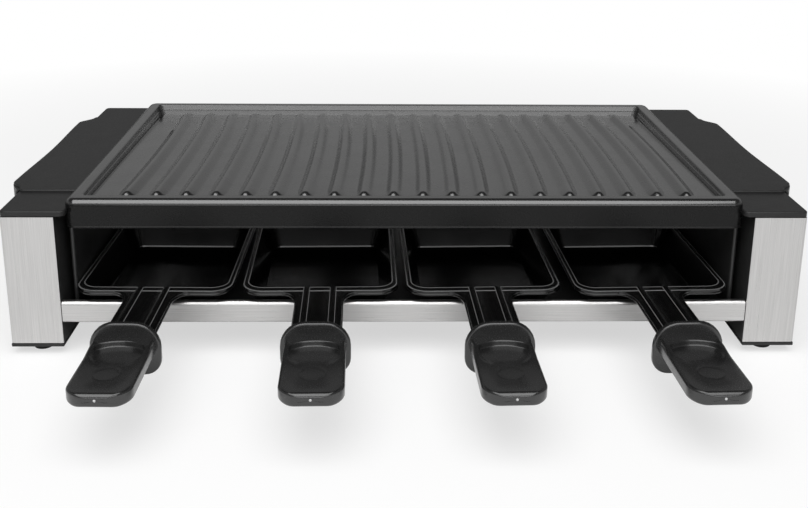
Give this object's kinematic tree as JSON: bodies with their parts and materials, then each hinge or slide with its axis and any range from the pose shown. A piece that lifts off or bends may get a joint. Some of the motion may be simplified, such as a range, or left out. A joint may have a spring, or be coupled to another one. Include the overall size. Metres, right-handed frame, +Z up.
{
  "type": "raclette grill",
  "caption": "Tabletop raclette grill with a ribbed cast plate over two rows of handled pans between steel-clad columns.",
  "frame": {"origin": "on the table under the middle of the grill", "axes": "+X to the right seen from the front, +Y to the rear, +Z up"},
  "size_m": [0.4772, 0.4901, 0.0937],
  "materials": {
    "cast": "die-cast, satin black non-stick coat",
    "pan": "satin black non-stick coat",
    "plastic": "finely textured matte black",
    "grip": "satin black",
    "brushed": "brushed stainless",
    "sheet": "black enamel",
    "rubber": "matte",
    "bright": "bright plated",
    "element": "heat-darkened sheath",
    "ceramic": "unglazed",
    "bakelite": "moulded",
    "lens": "clear red"
  },
  "bodies": {
    "body": {"base_screw_front_left": "bright", "base_screw_front_right": "bright", "base_screw_rear_left": "bright", "base_screw_rear_right": "bright", "cable_gland": "rubber", "deck": "sheet", "element_insulator_front": "ceramic", "element_insulator_rear": "ceramic", "foot_front_left": "rubber", "foot_front_right": "rubber", "foot_rear_left": "rubber", "foot_rear_right": "rubber", "front_beam": "brushed", "heating_element": "element", "left_base": "plastic", "left_cap": "plastic", "left_element_bracket": "bright", "left_housing": "plastic", "left_liner": "sheet", "left_steel_cover": "brushed", "liner_screw_front_left": "bright", "liner_screw_front_right": "bright", "liner_screw_rear_left": "bright", "liner_screw_rear_right": "bright", "pilot_lamp": "lens", "plate_pin_front_left": "bright", "plate_pin_front_right": "bright", "plate_pin_rear_left": "bright", "plate_pin_rear_right": "bright", "rear_beam": "brushed", "right_base": "plastic", "right_cap": "plastic", "right_element_bracket": "bright", "right_housing": "plastic", "right_liner": "sheet", "right_steel_cover": "brushed", "terminal_block": "ceramic", "thermal_cutout": "bakelite", "thermostat": "bright"},
    "plate": {"grill_plate": "cast"},
    "knob": {"thermostat_knob": "plastic"},
    "pan_body_front_1": {"pan_front_1": "pan", "grip_front_1": "grip"},
    "pan_body_front_2": {"pan_front_2": "pan", "grip_front_2": "grip"},
    "pan_body_front_3": {"pan_front_3": "pan", "grip_front_3": "grip"},
    "pan_body_front_4": {"pan_front_4": "pan", "grip_front_4": "grip"},
    "pan_body_rear_1": {"pan_rear_1": "pan", "grip_rear_1": "grip"},
    "pan_body_rear_2": {"pan_rear_2": "pan", "grip_rear_2": "grip"},
    "pan_body_rear_3": {"pan_rear_3": "pan", "grip_rear_3": "grip"},
    "pan_body_rear_4": {"pan_rear_4": "pan", "grip_rear_4": "grip"}
  },
  "joints": [
    {"name": "plate_lift", "type": "slide", "parent": "body", "child": "plate", "axis": [0, 0, 1], "range_m": [0, 0.08]},
    {"name": "knob_turn", "type": "hinge", "parent": "body", "child": "knob", "pos_m": [0.23005, 0, 0.046], "axis": [-1, 0, 0], "range_deg": [0, 270]},
    {"name": "pan_front_1_lift", "type": "slide", "parent": "body", "child": "pan_body_front_1", "axis": [0, 0, 1], "range_m": [0, 0.018]},
    {"name": "pan_front_2_lift", "type": "slide", "parent": "body", "child": "pan_body_front_2", "axis": [0, 0, 1], "range_m": [0, 0.018]},
    {"name": "pan_front_3_lift", "type": "slide", "parent": "body", "child": "pan_body_front_3", "axis": [0, 0, 1], "range_m": [0, 0.018]},
    {"name": "pan_front_4_lift", "type": "slide", "parent": "body", "child": "pan_body_front_4", "axis": [0, 0, 1], "range_m": [0, 0.018]},
    {"name": "pan_rear_1_lift", "type": "slide", "parent": "body", "child": "pan_body_rear_1", "axis": [0, 0, 1], "range_m": [0, 0.018]},
    {"name": "pan_rear_2_lift", "type": "slide", "parent": "body", "child": "pan_body_rear_2", "axis": [0, 0, 1], "range_m": [0, 0.018]},
    {"name": "pan_rear_3_lift", "type": "slide", "parent": "body", "child": "pan_body_rear_3", "axis": [0, 0, 1], "range_m": [0, 0.018]},
    {"name": "pan_rear_4_lift", "type": "slide", "parent": "body", "child": "pan_body_rear_4", "axis": [0, 0, 1], "range_m": [0, 0.018]}
  ]
}
